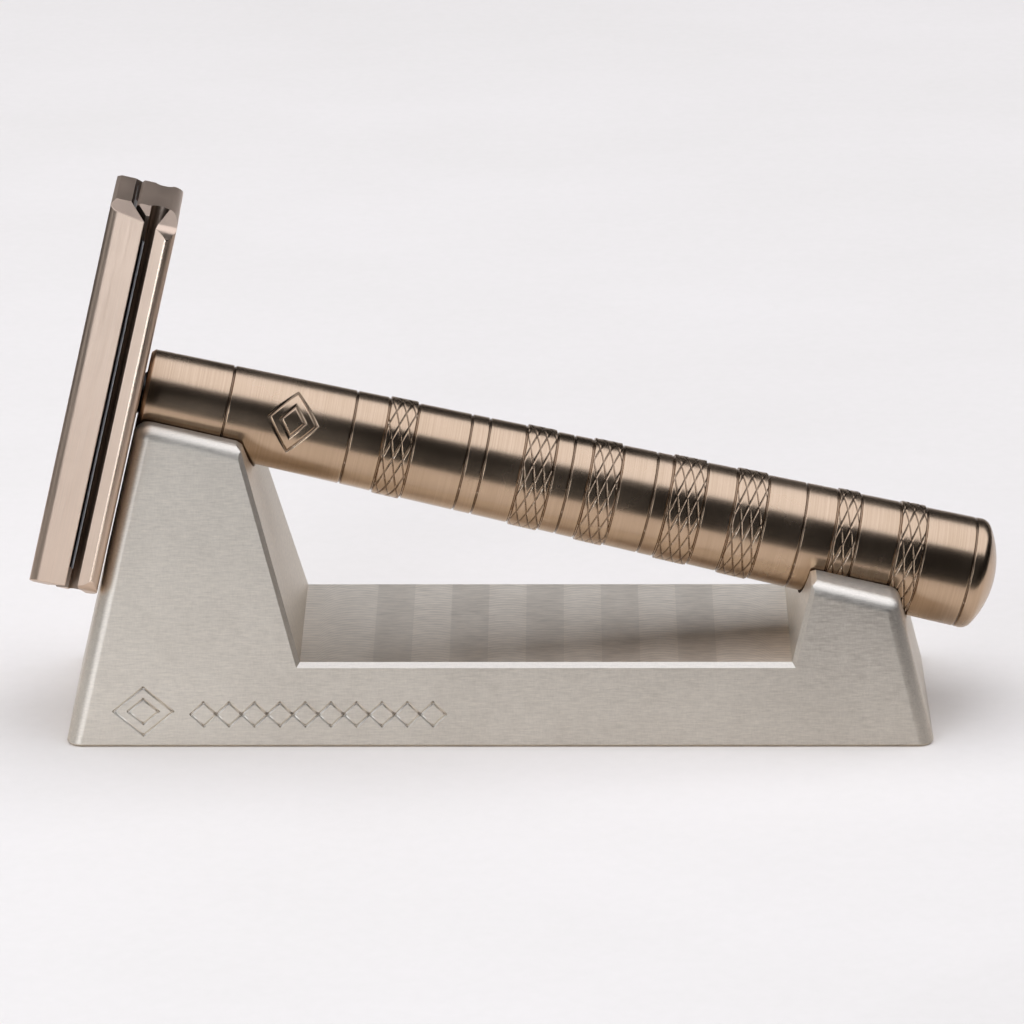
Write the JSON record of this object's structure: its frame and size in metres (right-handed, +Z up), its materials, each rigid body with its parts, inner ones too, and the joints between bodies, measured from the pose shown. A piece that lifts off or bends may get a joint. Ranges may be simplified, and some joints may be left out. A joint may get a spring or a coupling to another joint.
{
  "type": "razor stand",
  "caption": "Solid metal stand whose saddles cradle a tilted double-edge razor; the razor lifts off and its head unscrews into cap, blade and guard.",
  "frame": {"origin": "middle of the stand's underside, on the table", "axes": "+Z up; +X along the stand from the razor's head to its tail; -Y towards the front"},
  "size_m": [0.1077, 0.0284, 0.0607],
  "materials": {
    "stand_metal": "satin machined, warm light grey, fine grain along its length",
    "handle_metal": "satin anodised bronze with fine knurled bands",
    "head_metal": "satin anodised pale bronze, grain along the head",
    "blade_steel": "thin bright spring steel",
    "screw_steel": "bright turned steel"
  },
  "bodies": {
    "stand": {"stand_block": "stand_metal"},
    "guard": {"razor_guard": "head_metal"},
    "handle": {"razor_handle": "handle_metal"},
    "cap": {"razor_cap": "head_metal", "razor_stud": "screw_steel", "razor_pin_upper": "screw_steel", "razor_pin_lower": "screw_steel"},
    "blade": {"razor_blade": "blade_steel"}
  },
  "joints": [
    {"name": "razor_lift", "type": "slide", "parent": "stand", "child": "guard", "axis": [0, 0, 1], "range_m": [0, 0.045]},
    {"name": "handle_turn", "type": "hinge", "parent": "guard", "child": "handle", "pos_m": [0, 0, 0.02756], "axis": [0.9739, 0, -0.227], "range_deg": [0, 2880]},
    {"name": "cap_lift", "type": "slide", "parent": "guard", "child": "cap", "axis": [-0.9739, 0, 0.227], "range_m": [0, 0.0065]},
    {"name": "blade_lift", "type": "slide", "parent": "guard", "child": "blade", "axis": [-0.9739, 0, 0.227], "range_m": [0, 0.0033]}
  ],
  "couplings": [
    {"joint": "cap_lift", "follows": "handle_turn", "m_per_rad": 0.00012732},
    {"joint": "blade_lift", "follows": "handle_turn", "m_per_rad": 0.000063662}
  ]
}
